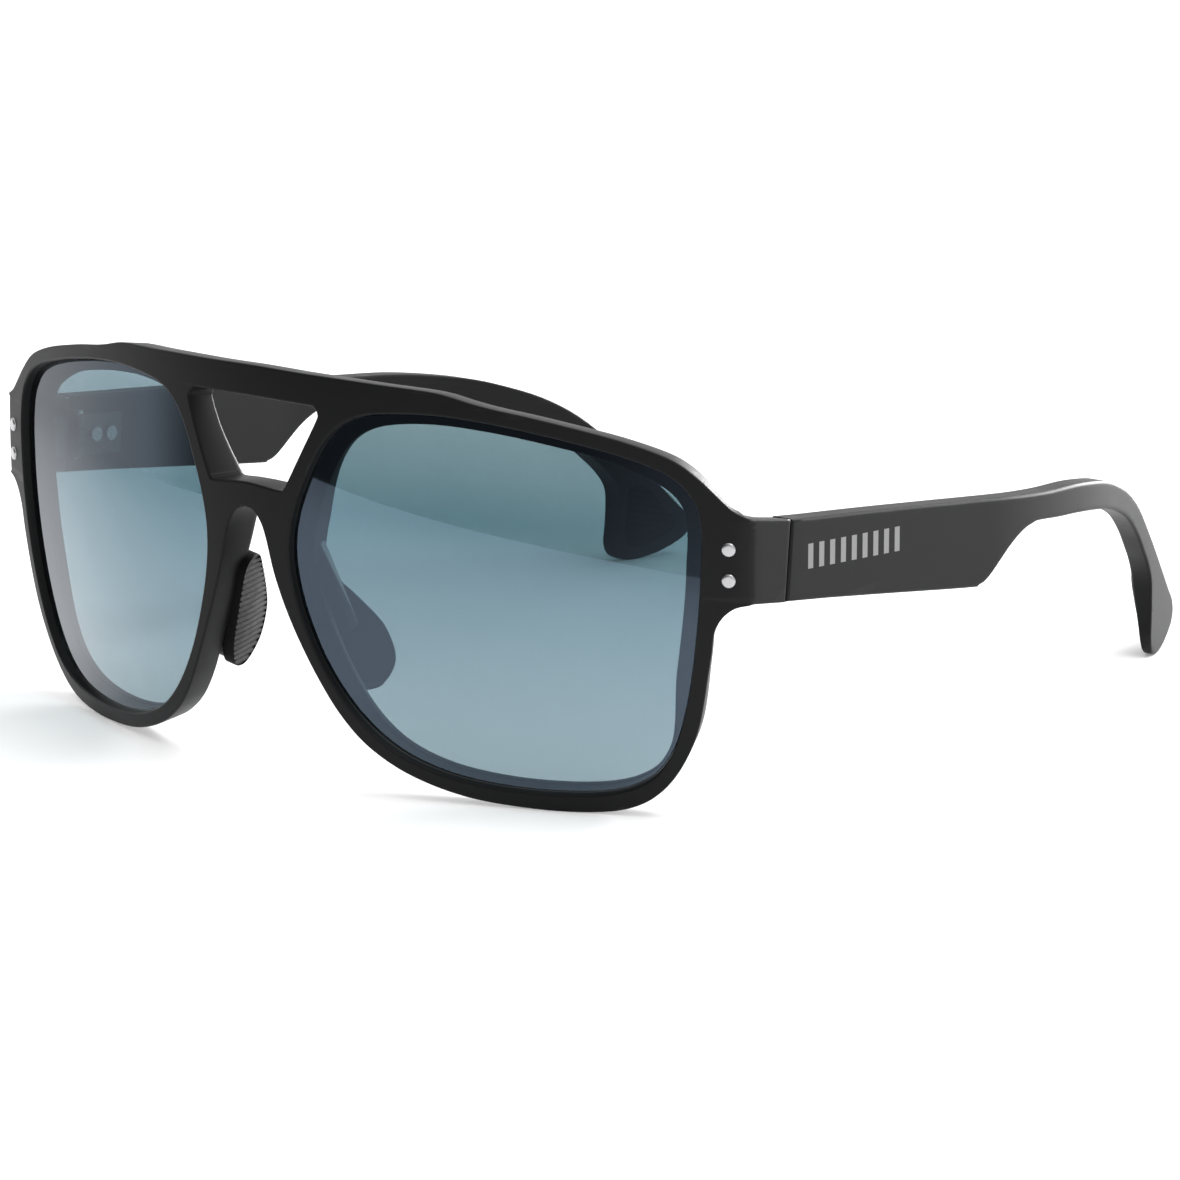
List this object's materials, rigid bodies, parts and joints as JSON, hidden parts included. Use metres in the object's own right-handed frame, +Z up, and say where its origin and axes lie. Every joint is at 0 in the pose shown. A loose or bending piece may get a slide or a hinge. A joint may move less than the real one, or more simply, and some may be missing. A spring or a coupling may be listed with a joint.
{
  "type": "folding sunglasses",
  "caption": "Aviator-style sunglasses with an open bridge, tinted wrapped lenses, rivets, ribbed nose pads and folding temples.",
  "frame": {"origin": "middle of the floor under the sunglasses, standing open on the rims and the temple tips", "axes": "+X to the wearer's left, +Y from the front towards the temple tips, +Z up"},
  "size_m": [0.14, 0.1566, 0.0595],
  "materials": {
    "frame_plastic": "matte black moulded plastic",
    "lens": "tinted, with a light mirror coating",
    "rubber": "ribbed black rubber",
    "steel": "satin"
  },
  "bodies": {
    "front": {"front_frame": "frame_plastic", "lens_left": "lens", "lens_right": "lens", "nose_pad_left": "rubber", "nose_pad_right": "rubber", "rivet_upper_left": "steel", "rivet_lower_left": "steel", "rivet_upper_right": "steel", "rivet_lower_right": "steel", "front_hinge_leaf_left": "steel", "front_hinge_leaf_right": "steel", "hinge_screw_left": "steel", "hinge_screw_right": "steel"},
    "left_temple": {"temple_left": "frame_plastic", "temple_grip_left": "rubber", "temple_hinge_leaf_left": "steel", "temple_screw_front_left": "steel", "temple_screw_rear_left": "steel"},
    "right_temple": {"temple_right": "frame_plastic", "temple_grip_right": "rubber", "temple_hinge_leaf_right": "steel", "temple_screw_front_right": "steel", "temple_screw_rear_right": "steel"}
  },
  "joints": [
    {"name": "fold_left", "type": "hinge", "parent": "front", "child": "left_temple", "pos_m": [0.06495, -0.04478, 0.03617], "axis": [0, 0.094, 0.9956], "range_deg": [0, 82]},
    {"name": "fold_right", "type": "hinge", "parent": "front", "child": "right_temple", "pos_m": [-0.06495, -0.04478, 0.03617], "axis": [0, -0.094, -0.9956], "range_deg": [0, 74]}
  ]
}
